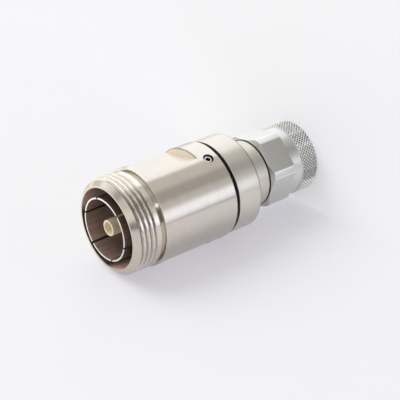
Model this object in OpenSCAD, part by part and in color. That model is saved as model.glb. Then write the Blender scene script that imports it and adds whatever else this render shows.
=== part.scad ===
// Coaxial adapter: a large threaded line connector on one end, a smaller plug with a coupling nut on the other.
// It stands on the coupling nut's front face, with the threaded mouth up. Millimetres, +Z up.

/* [Barrel] */
// Outside diameter of the main barrel
barrel_d = 28; // [27.6:0.2:34]
// Length of the full-size barrel between its end faces
barrel_len = 24.5; // [24:0.5:34]
// Bore through the rear of the barrel, which takes the spigot and the inner sleeves
barrel_bore_d = 20.4; // [19.4:0.2:21.4]
// Edge break on the barrel's end faces
barrel_edge = 0.3; // [0.1:0.05:0.6]

/* [Threaded nose] */
// Major diameter of the coupling thread
thread_d = 27; // [26.2:0.1:27.4]
// Pitch of the coupling thread
thread_pitch = 1.5; // [1:0.05:2]
// Depth of the thread's grooves
thread_depth = 0.8; // [0.4:0.05:0.85]
// Width of the thread's crests
thread_crest = 0.46; // [0.2:0.02:0.5]
// Width of the flat at the bottom of a groove
thread_root = 0.2; // [0.1:0.02:0.3]
// Crest left between the bevel and the first groove
thread_lead = 0.2; // [0.1:0.05:0.6]
// Length of the nose, from the barrel's front face to the mouth
nose_len = 9.5; // [8:0.25:14]
// Depth of the thread relief below the thread's crests
relief_depth = 0.85; // [0.5:0.05:1.2]
// Length of the thread relief behind the thread
relief_len = 1.05; // [0.5:0.05:2]
// Chamfer where the thread runs out into the relief
runout = 0.25; // [0.1:0.05:0.5]
// Length of the bevel at the mouth
bevel_len = 1.5; // [0.8:0.1:2.2]
// Width of the flat land around the mouth
land_w = 0.45; // [0.2:0.05:0.7]
// Wall between the mouth and the bottom of the thread relief
nose_wall = 1.17; // [0.8:0.01:1.6]
// Depth of the wide mouth, from its rim to the shoulder that seats the finger sleeve
mouth_depth = 10.5; // [9:0.25:11]

/* [Wrench flats] */
// Distance across the two wrench flats
flat_af = 24; // [22.4:0.2:26]
// Round collar left between the front face and the flats
flat_collar = 1.7; // [1:0.1:3]
// Round band left between the flats and the barrel's rear edge
flat_rear = 6.3; // [5:0.1:12]

/* [Set screws] */
// Number of set screws around the barrel
screw_count = 3; // [1:1:6]
// Diameter of a set screw
screw_d = 2.6; // [2:0.1:3]
// Clearance around a set screw in its tapped hole
screw_gap = 0.05; // [0.02:0.01:0.15]
// Distance of the screws from the barrel's rear edge
screw_rise = 3.2; // [2:0.1:4]
// Angle of the first screw around the barrel
screw_angle = -36.3; // [-90:0.1:90]
// Depth of a screw's head below the barrel's surface
screw_sunk = 0.45; // [0.2:0.05:1]
// Distance across the flats of the key socket in a screw's head
screw_key_af = 1.3; // [0.9:0.1:1.5]
// Depth of the key socket
screw_key_depth = 1.2; // [0.6:0.1:1.6]

/* [Finger sleeve] */
// Outside diameter of the spring fingers
finger_d = 18; // [17.4:0.1:18.8]
// Wall of the spring fingers
finger_wall = 0.45; // [0.3:0.05:0.7]
// Number of fingers
finger_count = 6; // [4:1:12]
// Angle of the first slot between fingers
finger_angle = 4; // [0:1:59]
// Width of the slots between the fingers
slot_w = 0.65; // [0.3:0.05:1]
// Length of the slots, from the finger tips
slot_len = 8; // [5:0.25:8.5]
// How far the finger tips stand out of the mouth
finger_proud = 0.75; // [0.3:0.05:1.5]
// Edge break on the finger tips
tip_edge = 0.12; // [0.05:0.01:0.14]
// Thickness of the flange that seats the sleeve in the mouth
flange_t = 2; // [1:0.1:2.5]
// Bore of the large outer conductor
line_d = 16; // [14:0.2:16.6]
// Length of the sleeve below its flange
skirt_len = 4.5; // [3.5:0.25:6]
// Length of the narrower line bore at the sleeve's foot
line_len = 3; // [1:0.25:3.5]

/* [Centre line] */
// Diameter of the centre contact
contact_d = 4.6; // [4:0.1:6]
// How far the centre contact's face lies below the mouth
contact_recess = 0.6; // [0.2:0.1:2]
// Edge breaks on the rim of the centre contact
contact_edge = 0.12; // [0.05:0.01:0.2]
// Diameter of the socket in the centre contact
socket_d = 3.3; // [2:0.1:3.4]
// Depth of that socket
socket_depth = 7; // [4:0.5:12]
// Stud that joins the centre contact to the conductor behind it
stud_d = 2.2; // [1.4:0.1:2.6]
// Length of that stud
stud_len = 5; // [4:0.5:7]
// Diameter of the conductor where it passes through the front bead
waist_d = 3.9; // [3.4:0.1:3.9]
// Thickness of the front bead
front_bead_t = 3.5; // [2:0.25:4]
// Bore of the small outer conductor
small_line_d = 7; // [6.4:0.1:7.4]
// Diameter of the small inner conductor
small_core_d = 2; // [1.8:0.1:3]
// Diameter of the conductor where it passes through the rear bead
small_waist_d = 1.5; // [1.3:0.05:1.6]
// Thickness of the rear bead
rear_bead_t = 2.5; // [1.5:0.25:4]
// Distance of the rear bead's underside above the neck's lower face
rear_bead_rise = 8.8; // [4:0.2:12]
// Diameter of the plug's pin
pin_d = 0.92; // [0.8:0.02:1.2]
// Length of the plug's pin, from its shoulder to its tip
pin_len = 6; // [4:0.25:7]
// Length of the pin's tapered tip
pin_point = 0.9; // [0.4:0.1:1.5]
// How far the pin's tip lies inside the nut
pin_recess = 3; // [2:0.25:5]
// Stud on the pin that screws into the conductor above it
pin_stud_d = 0.8; // [0.6:0.05:0.9]

/* [Rear body] */
// How far the marking ring lies below the barrel's surface
ring_sunk = 0.25; // [0:0.05:0.8]
// Length of the marking ring
ring_len = 7.8; // [5:0.2:14]
// Rounding of the ring's lower edge
ring_edge = 0.45; // [0.2:0.05:0.8]
// Diameter of the neck between the ring and the nut
neck_d = 19.3; // [17.6:0.1:19.8]
// Length of the neck
neck_len = 6.7; // [4:0.1:12]
// How far the spigot reaches into the barrel
spigot_len = 6.5; // [5.5:0.25:7]

/* [Seal] */
// Thickness of the black seal between the ring and the barrel
seal_t = 1.1; // [0.6:0.1:2]
// How far the seal lies below the barrel's surface
seal_sunk = 0.75; // [0.2:0.05:1.2]
// Width of the seal
seal_w = 1.7; // [1:0.1:2.4]

/* [Coupling nut] */
// Length of the coupling nut
nut_len = 17.5; // [16.6:0.1:22]
// Gap between the nut and the neck
nut_gap = 0.2; // [0.1:0.05:0.5]
// Distance across the hexagon's flats
hex_af = 20; // [19.4:0.1:21]
// Diameter that the hexagon's corners are turned to
hex_turned_d = 22; // [21.2:0.1:23]
// Length of the hexagon, with its chamfer
hex_len = 8.4; // [6:0.2:9]
// Width of the chamfer on the hexagon's rear
hex_chamfer_w = 1.1; // [0.4:0.1:1.5]
// Length of that chamfer
hex_chamfer = 0.9; // [0.4:0.1:1.5]
// Diameter of the plain collar between the hexagon and the knurl
collar_d = 19.9; // [19:0.1:20.4]
// Diameter over the knurl
knurl_d = 21; // [20.2:0.1:22]
// Length of the knurl
knurl_len = 5.5; // [3:0.1:7]
// Chamfer at both ends of the knurl
knurl_edge = 0.35; // [0.2:0.05:0.6]
// Minor diameter of the nut's inside thread
nut_thread_d = 14.9; // [14.4:0.1:15.6]
// Depth of the nut's inside thread, with its relief
nut_thread_len = 9.4; // [8.2:0.1:10]
// Diameter of the relief at the end of the inside thread
nut_relief_d = 16; // [15.4:0.1:16.8]
// Length of that relief
nut_relief_len = 1.6; // [1:0.1:2.5]
// Lead-in chamfer at the nut's mouth
nut_lead = 0.7; // [0.3:0.1:1]
// Diameter of the shaft that the nut turns on
shaft_d = 14.84; // [14:0.02:15.2]

/* [Retaining ring] */
// Height of the ring's groove above the shaft's front face
groove_rise = 3.4; // [2:0.1:5]
// Width of the ring's groove
groove_w = 1; // [0.6:0.1:1.6]
// Depth of the groove in the shaft
groove_depth = 0.75; // [0.4:0.05:1]
// Depth of the groove in the nut
nut_groove_depth = 0.8; // [0.4:0.05:1.1]
// Opening of the split ring
ring_split = 1.6; // [0.8:0.1:3]

/* [Plug] */
// Wall of the plug's outer contact
plug_wall = 0.55; // [0.4:0.05:0.9]
// How far the outer contact's tip lies inside the nut
plug_recess = 3.4; // [2.4:0.2:5]
// How deep the outer contact is pressed into the shaft
plug_press = 5.4; // [3:0.2:8]
// Lead-in chamfer on the outer contact's tip
plug_lead = 0.25; // [0.1:0.05:0.4]
// How far the plug's gasket lies inside the edge of the shaft
gasket_inset = 0.42; // [0.3:0.02:1]
// Width of the gasket
gasket_w = 1.6; // [1:0.1:2]
// Thickness of the gasket
gasket_t = 1.2; // [0.6:0.1:1.6]

/* [Fits] */
// Clearance around pieces that are pressed or screwed together
close_gap = 0.04; // [0.02:0.01:0.08]
// Clearance around the shaft that the nut turns on
running_gap = 0.08; // [0.03:0.01:0.1]
// Clearance around the retaining ring in its grooves
ring_gap = 0.1; // [0.05:0.05:0.2]

/* [Hidden] */
$fn = 96;
// A little extra length that lets a cut pass through a face
over = 1;

// Heights up the adapter, from the nut's front face
neck_z = nut_len + nut_gap;
ring_z = neck_z + neck_len;
seal_z = ring_z + ring_len;
barrel_z = seal_z + seal_t;
face_z = barrel_z + barrel_len;
mouth_z = face_z + nose_len;
tip_z = mouth_z + finger_proud;

// Heights of what lies inside
shoulder_z = mouth_z - mouth_depth;
skirt_z = shoulder_z - skirt_len;
cone_top_z = skirt_z - front_bead_t;
spigot_z = barrel_z + spigot_len;
rear_bead_z = neck_z + rear_bead_rise;
contact_z = mouth_z - contact_recess;
shaft_z = nut_thread_len + nut_gap;
groove_z = shaft_z + groove_rise;
pin_shoulder_z = pin_recess + pin_len;
flat_top_z = face_z - flat_collar;
flat_bottom_z = barrel_z + flat_rear;

// Radii that more than one piece shares
barrel_r = barrel_d / 2;
thread_r = thread_d / 2;
relief_r = thread_r - relief_depth;
mouth_r = relief_r - nose_wall;
sleeve_r = barrel_bore_d / 2 - close_gap;
small_line_r = small_line_d / 2;
plug_r = small_line_r + plug_wall;
finger_bore_r = finger_d / 2 - finger_wall;
nut_bore_r = shaft_d / 2 + running_gap;
groove_r = shaft_d / 2 - groove_depth;
nut_groove_r = nut_bore_r + nut_groove_depth;

// Full thread, from its run-out to the bevel, and the grooves that fit on it
thread_z = face_z + relief_len + runout;
bevel_z = mouth_z - bevel_len;
thread_groove_count = floor((bevel_z - thread_z - thread_lead) / thread_pitch);

// A round bar with a plain hole through it
module tube(r_out, r_in, z0, z1) {
    translate([0, 0, z0]) difference() {
        cylinder(r = r_out, h = z1 - z0);
        translate([0, 0, -over]) cylinder(r = r_in, h = z1 - z0 + 2 * over);
    }
}

// A plain round bar between two heights
module rod(r, z0, z1) {
    translate([0, 0, z0]) cylinder(r = r, h = z1 - z0);
}

// Places its children at each set screw, with +X pointing out of the barrel
module at_screws() {
    for (i = [0 : screw_count - 1])
        rotate([0, 0, screw_angle + i * 360 / screw_count])
            translate([0, 0, barrel_z + screw_rise]) children();
}

// Profile of one thread groove, from its lower edge to its upper edge at a height
function thread_groove(top_z) =
    let (opening = thread_pitch - thread_crest, flank = (opening - thread_root) / 2)
    [
        [thread_r, top_z - opening],
        [thread_r - thread_depth, top_z - opening + flank],
        [thread_r - thread_depth, top_z - flank],
        [thread_r, top_z]
    ];

// Main barrel with the threaded nose, wrench flats and tapped holes. Plain rings stand for the thread's turns.
module barrel() {
    color([0.80, 0.78, 0.73]) difference() {
        rotate_extrude() polygon(concat(
            [
                [barrel_bore_d / 2, barrel_z],
                [barrel_r - barrel_edge, barrel_z],
                [barrel_r, barrel_z + barrel_edge],
                [barrel_r, face_z - barrel_edge],
                [barrel_r - barrel_edge, face_z],
                [relief_r, face_z],
                [relief_r, face_z + relief_len],
                [thread_r - runout, face_z + relief_len],
                [thread_r, thread_z]
            ],
            [for (i = [thread_groove_count - 1 : -1 : 0])
                each thread_groove(bevel_z - thread_lead - i * thread_pitch)],
            [
                [thread_r, bevel_z],
                [mouth_r + land_w, mouth_z],
                [mouth_r, mouth_z],
                [mouth_r, shoulder_z],
                [barrel_bore_d / 2, shoulder_z]
            ]
        ));
        for (side = [0, 180]) rotate([0, 0, side])
            translate([flat_af / 2, -barrel_d, flat_bottom_z])
                cube([barrel_d, 2 * barrel_d, flat_top_z - flat_bottom_z]);
        at_screws() rotate([0, 90, 0]) cylinder(d = screw_d + 2 * screw_gap, h = barrel_d);
    }
}

// Set screws with a key socket, which hold the barrel on the rear body's spigot
module set_screws() {
    head_r = barrel_r - screw_sunk;
    color([0.30, 0.28, 0.26]) at_screws() rotate([0, 90, 0]) difference() {
        translate([0, 0, sleeve_r]) cylinder(d = screw_d, h = head_r - sleeve_r);
        translate([0, 0, head_r - screw_key_depth])
            cylinder(d = screw_key_af / cos(30), h = screw_key_depth + over, $fn = 6);
    }
}

// Outer contact of the large end, slotted into spring fingers
module outer_contact() {
    finger_r = finger_d / 2;
    flange_r = mouth_r - close_gap;
    flange_z = shoulder_z + flange_t;
    color([0.74, 0.72, 0.69]) difference() {
        rotate_extrude() polygon([
            [line_d / 2, skirt_z],
            [sleeve_r, skirt_z],
            [sleeve_r, shoulder_z],
            [flange_r, shoulder_z],
            [flange_r, flange_z],
            [finger_r, flange_z],
            [finger_r, tip_z - tip_edge],
            [finger_r - tip_edge, tip_z],
            [finger_bore_r + tip_edge, tip_z],
            [finger_bore_r, tip_z - tip_edge],
            [finger_bore_r, skirt_z + line_len],
            [line_d / 2, skirt_z + line_len]
        ]);
        for (i = [0 : finger_count - 1])
            rotate([0, 0, finger_angle + i * 360 / finger_count])
                translate([0, -slot_w / 2, tip_z - slot_len]) cube([finger_d, slot_w, slot_len + over]);
    }
}

// Gold centre contact, a rod with a socket in its end
module centre_contact() {
    contact_r = contact_d / 2;
    socket_r = socket_d / 2;
    color([0.88, 0.76, 0.48]) union() {
        rotate_extrude() polygon([
            [0, skirt_z],
            [contact_r, skirt_z],
            [contact_r, contact_z - contact_edge],
            [contact_r - contact_edge, contact_z],
            [socket_r + contact_edge, contact_z],
            [socket_r, contact_z - contact_edge],
            [socket_r, contact_z - socket_depth],
            [0, contact_z - socket_depth]
        ]);
        rod(stud_d / 2, skirt_z - stud_len, skirt_z + over);
    }
}

// White bead that carries the centre conductor in the large line
module front_bead() {
    color([0.93, 0.92, 0.88]) tube(sleeve_r, waist_d / 2 + close_gap, cone_top_z, skirt_z);
}

// Inner conductor, which tapers from the large line to the small one
module centre_conductor() {
    core_r = small_core_d / 2;
    lower_z = rear_bead_z + rear_bead_t;
    color([0.82, 0.68, 0.40]) difference() {
        rotate_extrude() polygon([
            [0, rear_bead_z],
            [small_waist_d / 2, rear_bead_z],
            [small_waist_d / 2, lower_z],
            [core_r, lower_z],
            [core_r, spigot_z],
            [contact_d / 2, cone_top_z],
            [waist_d / 2, cone_top_z],
            [waist_d / 2, skirt_z],
            [0, skirt_z]
        ]);
        rod(stud_d / 2 + close_gap, skirt_z - stud_len - over, skirt_z + over);
        rod(pin_stud_d / 2 + close_gap, rear_bead_z - over, lower_z + over);
    }
}

// Sleeve whose bore narrows from the large line to the small one
module transition_sleeve() {
    color([0.74, 0.71, 0.66]) rotate_extrude() polygon([
        [small_line_r, spigot_z],
        [sleeve_r, spigot_z],
        [sleeve_r, cone_top_z],
        [line_d / 2, cone_top_z]
    ]);
}

// Black seal squeezed between the marking ring and the barrel
module seal_ring() {
    seal_r = barrel_r - seal_sunk;
    color([0.06, 0.06, 0.06]) tube(seal_r, seal_r - seal_w, seal_z, barrel_z);
}

// Marking ring, neck, spigot and nut shaft, turned in one piece
module rear_body() {
    ring_r = barrel_r - ring_sunk;
    color([0.79, 0.78, 0.75]) difference() {
        rotate_extrude() polygon(concat(
            [
                [small_line_r, shaft_z],
                [shaft_d / 2, shaft_z],
                [shaft_d / 2, groove_z],
                [groove_r, groove_z],
                [groove_r, groove_z + groove_w],
                [shaft_d / 2, groove_z + groove_w],
                [shaft_d / 2, neck_z],
                [neck_d / 2, neck_z],
                [neck_d / 2, ring_z]
            ],
            [for (a = [-90 : 15 : 0])
                [ring_r - ring_edge + ring_edge * cos(a), ring_z + ring_edge + ring_edge * sin(a)]],
            [
                [ring_r, seal_z],
                [sleeve_r, seal_z],
                [sleeve_r, spigot_z],
                [small_line_r, spigot_z]
            ]
        ));
        rod(plug_r + close_gap, shaft_z - over, shaft_z + plug_press);
    }
}

// White bead that carries the small conductor
module rear_bead() {
    color([0.93, 0.92, 0.88])
        tube(small_line_r - close_gap, small_waist_d / 2 + close_gap, rear_bead_z, rear_bead_z + rear_bead_t);
}

// Gold pin of the plug
module centre_pin() {
    pin_r = pin_d / 2;
    color([0.88, 0.76, 0.48]) rotate_extrude() polygon([
        [0, pin_recess],
        [pin_r / 2, pin_recess],
        [pin_r, pin_recess + pin_point],
        [pin_r, pin_shoulder_z],
        [small_core_d / 2, pin_shoulder_z],
        [small_core_d / 2, rear_bead_z],
        [pin_stud_d / 2, rear_bead_z],
        [pin_stud_d / 2, rear_bead_z + rear_bead_t],
        [0, rear_bead_z + rear_bead_t]
    ]);
}

// Outer contact of the plug, a thin sleeve pressed into the shaft
module plug_contact() {
    color([0.76, 0.74, 0.70]) rotate_extrude() polygon([
        [small_line_r, plug_recess],
        [plug_r - plug_lead, plug_recess],
        [plug_r, plug_recess + plug_lead],
        [plug_r, shaft_z + plug_press],
        [small_line_r, shaft_z + plug_press]
    ]);
}

// Rubber gasket against the shaft's front face
module gasket() {
    gasket_r = shaft_d / 2 - gasket_inset;
    color([0.45, 0.16, 0.12]) tube(gasket_r, gasket_r - gasket_w, shaft_z - gasket_t, shaft_z);
}

// Split ring that keeps the nut on the shaft
module retaining_ring() {
    ring_out = nut_groove_r - ring_gap;
    color([0.55, 0.53, 0.50]) difference() {
        tube(ring_out, groove_r + close_gap, groove_z + ring_gap, groove_z + groove_w - ring_gap);
        translate([-shaft_d, -ring_split / 2, groove_z]) cube([shaft_d, ring_split, groove_w]);
    }
}

// Coupling nut with a hexagon, a plain collar and a knurled grip
module coupling_nut() {
    hex_z = nut_len - hex_len;
    knurl_r = knurl_d / 2;
    relief_z = nut_thread_len - nut_relief_len;
    color([0.80, 0.80, 0.80]) difference() {
        union() {
            intersection() {
                rotate([0, 0, 30]) translate([0, 0, hex_z])
                    cylinder(r = hex_af / 2 / cos(30), h = hex_len, $fn = 6);
                rotate_extrude() polygon([
                    [0, hex_z],
                    [hex_turned_d / 2, hex_z],
                    [hex_turned_d / 2, nut_len - hex_chamfer],
                    [hex_turned_d / 2 - hex_chamfer_w, nut_len],
                    [0, nut_len]
                ]);
            }
            rotate_extrude() polygon([
                [0, 0],
                [knurl_r - knurl_edge, 0],
                [knurl_r, knurl_edge],
                [knurl_r, knurl_len - knurl_edge],
                [knurl_r - knurl_edge, knurl_len],
                [collar_d / 2, knurl_len],
                [collar_d / 2, hex_z],
                [0, hex_z]
            ]);
        }
        rotate_extrude() polygon([
            [0, -over],
            [nut_thread_d / 2 + nut_lead + over, -over],
            [nut_thread_d / 2, nut_lead],
            [nut_thread_d / 2, relief_z],
            [nut_relief_d / 2, relief_z],
            [nut_relief_d / 2, nut_thread_len],
            [nut_bore_r, nut_thread_len],
            [nut_bore_r, groove_z],
            [nut_groove_r, groove_z],
            [nut_groove_r, groove_z + groove_w],
            [nut_bore_r, groove_z + groove_w],
            [nut_bore_r, nut_len + over],
            [0, nut_len + over]
        ]);
    }
}

barrel();
set_screws();
outer_contact();
centre_contact();
front_bead();
centre_conductor();
transition_sleeve();
seal_ring();
rear_body();
rear_bead();
centre_pin();
plug_contact();
gasket();
retaining_ring();
coupling_nut();
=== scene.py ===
"""The coaxial adapter's looks: detailed pieces, materials, floor, light and camera around the CAD part."""

import math

import bmesh
import bpy
import numpy as np
from mathutils import Matrix, Vector


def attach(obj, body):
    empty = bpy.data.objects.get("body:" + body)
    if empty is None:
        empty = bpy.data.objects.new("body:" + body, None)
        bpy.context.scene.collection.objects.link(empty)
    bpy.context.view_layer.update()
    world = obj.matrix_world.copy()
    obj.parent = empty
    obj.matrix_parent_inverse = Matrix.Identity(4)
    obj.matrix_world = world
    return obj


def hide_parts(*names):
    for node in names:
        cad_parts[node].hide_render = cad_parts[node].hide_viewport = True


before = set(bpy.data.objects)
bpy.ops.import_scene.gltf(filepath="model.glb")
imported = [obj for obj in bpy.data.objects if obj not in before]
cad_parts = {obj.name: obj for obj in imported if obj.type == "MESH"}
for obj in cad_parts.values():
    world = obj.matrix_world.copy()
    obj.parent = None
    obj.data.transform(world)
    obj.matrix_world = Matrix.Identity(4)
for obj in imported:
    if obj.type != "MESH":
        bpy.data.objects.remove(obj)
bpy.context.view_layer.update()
scene = bpy.context.scene

MM = 0.001
TURN = 2 * math.pi

# Sizes in millimetres that follow the part's source: the barrel and its screws
BARREL_R = 14.0
BARREL_Z = 33.3
FACE_Z = 57.8
MOUTH_Z = 67.3
BARREL_BORE_R = 10.2
BARREL_EDGE = 0.3
FLAT_X = 12.0
FLAT_BOTTOM_Z = 39.6
FLAT_TOP_Z = 56.1
RELIEF_R = 12.65
RELIEF_TOP_Z = 58.85
THREAD_R = 13.5
RUNOUT = 0.25
BEVEL_Z = 65.8
MOUTH_R = 11.48
LAND_R = 11.93
SHOULDER_Z = 56.8
SCREW_Z = 36.5
SCREW_COUNT = 3
FIRST_SCREW = -36.3
SCREW_ANGLES = [math.radians(FIRST_SCREW + 360 / SCREW_COUNT * i) for i in range(SCREW_COUNT)]
SCREW_HOLE_R = 1.35
SCREW_R = 1.3
SCREW_SUNK = 0.45
SCREW_KEY_AF = 1.3
SCREW_KEY_DEPTH = 1.2

# The outer contact and the centre contact
TIP_Z = 68.05
SLOT_Z = 60.05
SLOT_W = 0.65
FINGER_R = 9.0
FINGER_BORE_R = 8.55
FINGER_COUNT = 6
FINGER_ANGLE = math.radians(4)
SLEEVE_R = 10.16
FLANGE_R = 11.44
FLANGE_Z = 58.8
SKIRT_Z = 52.3
LINE_R = 8.0
LINE_TOP_Z = 55.3
CONTACT_R = 2.3
CONTACT_Z = 52.3
CONTACT_TOP_Z = 66.7
SOCKET_R = 1.65
SOCKET_Z = 59.7
TAIL_R = 1.1
TAIL_Z = 47.3

# The rear body and the seal
RING_R = 13.75
RING_Z = 24.4
RING_TOP_Z = 32.2
NECK_R = 9.65
SPIGOT_R = 10.16
SPIGOT_TOP_Z = 39.8
REAR_BORE_R = 3.5
PLUG_BORE_R = 4.09
PLUG_BORE_TOP_Z = 15.0
SHAFT_R = 7.42
SHAFT_Z = 9.6
SHAFT_TOP_Z = 17.7
SHAFT_GROOVE_R = 6.67
SEAL_R = 13.25
SEAL_BORE_R = 11.55

# The coupling nut
NUT_LEN = 17.5
HEX_Z = 9.1
HEX_APOTHEM = 10.0
HEX_TURNED_R = 11.0
HEX_CHAMFER_Z = 16.6
HEX_FACE_R = 9.9
COLLAR_R = 9.95
KNURL_R = 10.5
KNURL_LEN = 5.5
KNURL_EDGE = 0.35
NUT_THREAD_R = 7.45
NUT_THREAD_TOP_Z = 7.8
NUT_RELIEF_R = 8.0
NUT_THREAD_LEN = 9.4
NUT_BORE_R = 7.5
NUT_GROOVE_R = 8.3
GROOVE_Z = 13.0
GROOVE_TOP_Z = 14.0

# Sizes in millimetres that only the visual model has: edges, and how near counts as touching
EDGE = 0.1
FINE_EDGE = 0.05
SUPPORT = 0.1
EDGE_STEPS = 5
NEAR = 0.02
TOUCH = 0.01

# Nose thread, mouth, wrench flats and tapped holes
THREAD_PITCH = 1.5
THREAD_DEPTH = 0.8
THREAD_GROOVE_Z = 65.4
THREAD_GROOVE_HALF = 0.46
THREAD_FLANK = 0.36
FLANK_STRAIGHT = 0.75
THREAD_PLAIN_Z = (59.25, 59.7, 60.1)
THREAD_START_Z = 60.15
THREAD_FULL_Z = 60.75
THREAD_ROWS = 140
VIEW_ANGLE = math.radians(-69)
FACE_EDGE = 0.15
LAND_EDGE = 0.06
LAND_ROUND = 0.04
MOUTH_ROUND = 0.03
MOUTH_ROWS_Z = (64, 61, 59)
BORE_ROWS_Z = (52, 46, 41)
FLAT_ROWS = 12
LEAST_COSINE = 0.1
POCKET_EDGE = 0.27
COLUMN_ANGLE = math.radians(1.5)
SCREW_MARGIN = 2.2
HOLE_REACH = 2.0
HOLE_ROWS = 13
SCREW_HEIGHTS = np.linspace(SCREW_Z - HOLE_REACH, SCREW_Z + HOLE_REACH, HOLE_ROWS)
HOLE_EDGE = 0.15
HOLE_CHAMFER = 0.13
HOLE_WALL = 0.6
HOLE_END = 0.3

# Set screws and fingers
SCREW_COLUMNS = 24
SCREW_BEVEL = 0.3
SCREW_BEVEL_W = 0.28
SCREW_ROUND = 0.06
KEY_WALL = 0.08
KEY_SUNK = 0.03
FINGER_COLUMNS = 24
FINGER_FILLET = 0.15
FINGER_FILLET_MID = 0.04
FINGER_ROWS_Z = (61.5, 63, 64.5, 66, 67.2)
TIP_ROUND = 0.12
TIP_ROUND_MID = 0.035
TIP_FLAT = 0.2

# Columns, edges and finishes of the turned pieces
BODY_COLUMNS = 256
SEAL_COLUMNS = 192
CONTACT_COLUMNS = 96
SHAFT_EDGE = 0.2
NECK_EDGE = 0.3
NECK_FILLET = 0.12
RING_REAR_EDGE = 0.45
RING_FRONT_EDGE = 0.15
RING_FINISH_R = 12.0
# How far up the painted shade on the wide ring's rear edge reaches
RING_SHADE_BAND = 0.4
SEAL_EDGE = 0.32
CONTACT_EDGE = 0.12
SOCKET_FLOOR = 0.7
# Depth of the band at the socket's rim that is painted darker as shade
RIM_SHADE_BAND = 0.13

# Nut's knurl, edges and inside thread
KNURL_COUNT = 64
KNURL_ROWS = 11
KNURL_DEPTH = 0.31
KNURL_SPLIT = 3
KNURL_CREST = 0.95
KNURL_EDGE_SLOPE = 1.2
COLLAR_SUPPORT = 0.3
HEX_FLAT_SHARE = 0.8
HEX_SUPPORT = 0.25
HEX_EDGE = 0.13
HEX_WORN = 0.02
CREASE_NEAR = 0.015
CORNER_NEAR = 0.004
NUT_BORE_EDGE = 0.15
NUT_LEAD = 0.7
NUT_THREAD_PITCH = 1.06
NUT_THREAD_DEPTH = 0.45
NUT_THREAD_FLOOR = 0.04
NUT_THREAD_HALF = 0.45
NUT_THREAD_ROWS = 88

# Meshes: distances in metres, the angle from which an edge is sharp, and a difference that counts as none
MERGED = 2e-7
LEAST_EDGE = 1e-8
SHARP = math.radians(21)
SAME = 1e-6


# Mesh helpers

def smooth_step(low, high, value):
    """0 below low, 1 above high, smooth between."""
    share = np.clip((value - low) / (high - low), 0, 1)
    return share * share * (3 - 2 * share)


def around(radius, height, angles):
    """Points around the axis. Radius and height are one number, or one for each angle."""
    radius = np.broadcast_to(radius, angles.shape)
    height = np.broadcast_to(height, angles.shape)
    return np.stack([radius * np.cos(angles), radius * np.sin(angles), height], axis=1)


def rows_around(path, angles):
    """A row of points around the axis for each radius and height of a path."""
    return [around(radius, height, angles) for radius, height in path]


def even_angles(count):
    """Angles evenly spaced around the axis."""
    return np.arange(count) * TURN / count


def off_helix(height, angles, pitch):
    """Distance along the axis from the nearest turn of a helix."""
    turns = height / pitch - angles / TURN
    return np.abs(turns - np.round(turns)) * pitch


def off_middle(angles):
    """Angles away from the middle of the nearest side of a hexagon."""
    return (angles + math.pi / 6) % (math.pi / 3) - math.pi / 6


def grid_faces(row_count, column_count, first=0):
    """Quads of a grid that closes on itself along both its rows and its columns."""
    faces = []
    for row in range(row_count):
        low = first + row * column_count
        high = first + (row + 1) % row_count * column_count
        for column in range(column_count):
            beside = (column + 1) % column_count
            faces.append((low + column, low + beside, high + beside, high + column))
    return faces


def rounded(corners):
    """A closed profile in which each corner (radius, height, rounding) with a rounding becomes an arc."""
    points = []
    for i, (radius, height, rounding) in enumerate(corners):
        here = np.array((radius, height), float)
        if rounding <= 0:
            points.append(tuple(here))
            continue
        back = np.array(corners[i - 1][:2], float) - here
        ahead = np.array(corners[(i + 1) % len(corners)][:2], float) - here
        back_length = np.linalg.norm(back)
        ahead_length = np.linalg.norm(ahead)
        back = back / back_length
        ahead = ahead / ahead_length
        half = math.acos(float(np.clip(back @ ahead, -1, 1))) / 2
        reach = rounding / math.tan(half)
        centre = here + (back + ahead) / np.linalg.norm(back + ahead) * rounding / math.sin(half)
        start = here + back * reach - centre
        end = here + ahead * reach - centre
        sweep = math.pi - 2 * half
        if back_length > 2 * (reach + SUPPORT):
            points.append(tuple(here + back * (reach + SUPPORT)))
        for step in range(EDGE_STEPS + 1):
            share = step / EDGE_STEPS
            weight_start = math.sin((1 - share) * sweep) / math.sin(sweep)
            weight_end = math.sin(share * sweep) / math.sin(sweep)
            points.append(tuple(centre + start * weight_start + end * weight_end))
        if ahead_length > 2 * (reach + SUPPORT):
            points.append(tuple(here + ahead * (reach + SUPPORT)))
    return points


def add_object(name, data):
    """A new object in the scene."""
    made = bpy.data.objects.new(name, data)
    scene.collection.objects.link(made)
    return made


def add_piece(name, points, faces, body, materials, nodes, choose=None):
    """A mesh object from points in millimetres, which rides on a body and stands for CAD nodes.

    Where it has several materials, choose(radius, height) gives the material of a face.
    """
    mesh = bpy.data.meshes.new(name)
    mesh.from_pydata((np.asarray(points) * MM).tolist(), [], faces)
    work = bmesh.new()
    work.from_mesh(mesh)
    bmesh.ops.remove_doubles(work, verts=work.verts, dist=MERGED)
    bmesh.ops.dissolve_degenerate(work, edges=work.edges, dist=LEAST_EDGE)
    bmesh.ops.recalc_face_normals(work, faces=work.faces)
    work.to_mesh(mesh)
    work.free()
    mesh.shade_smooth()
    mesh.set_sharp_from_angle(angle=SHARP)
    piece = add_object(name, mesh)
    for material in materials:
        mesh.materials.append(material)
    if choose:
        for face in mesh.polygons:
            x, y, z = face.center / MM
            face.material_index = materials.index(choose(math.hypot(x, y), z))
    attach(piece, body)
    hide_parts(*nodes)
    return piece


# Material helpers

def node(tree, kind, **values):
    """A new node with its plain settings."""
    made = tree.nodes.new(kind)
    for key, value in values.items():
        setattr(made, key, value)
    return made


def set_inputs(made, values):
    """Sets a node's inputs by their names."""
    for key, value in values.items():
        made.inputs[key].default_value = value


def math_node(tree, operation, first, second=None):
    """A Math node whose inputs are sockets or numbers."""
    made = node(tree, "ShaderNodeMath", operation=operation)
    for index, value in enumerate((first, second)):
        if value is None:
            continue
        if isinstance(value, (int, float)):
            made.inputs[index].default_value = value
        else:
            tree.links.new(value, made.inputs[index])
    return made.outputs[0]


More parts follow.
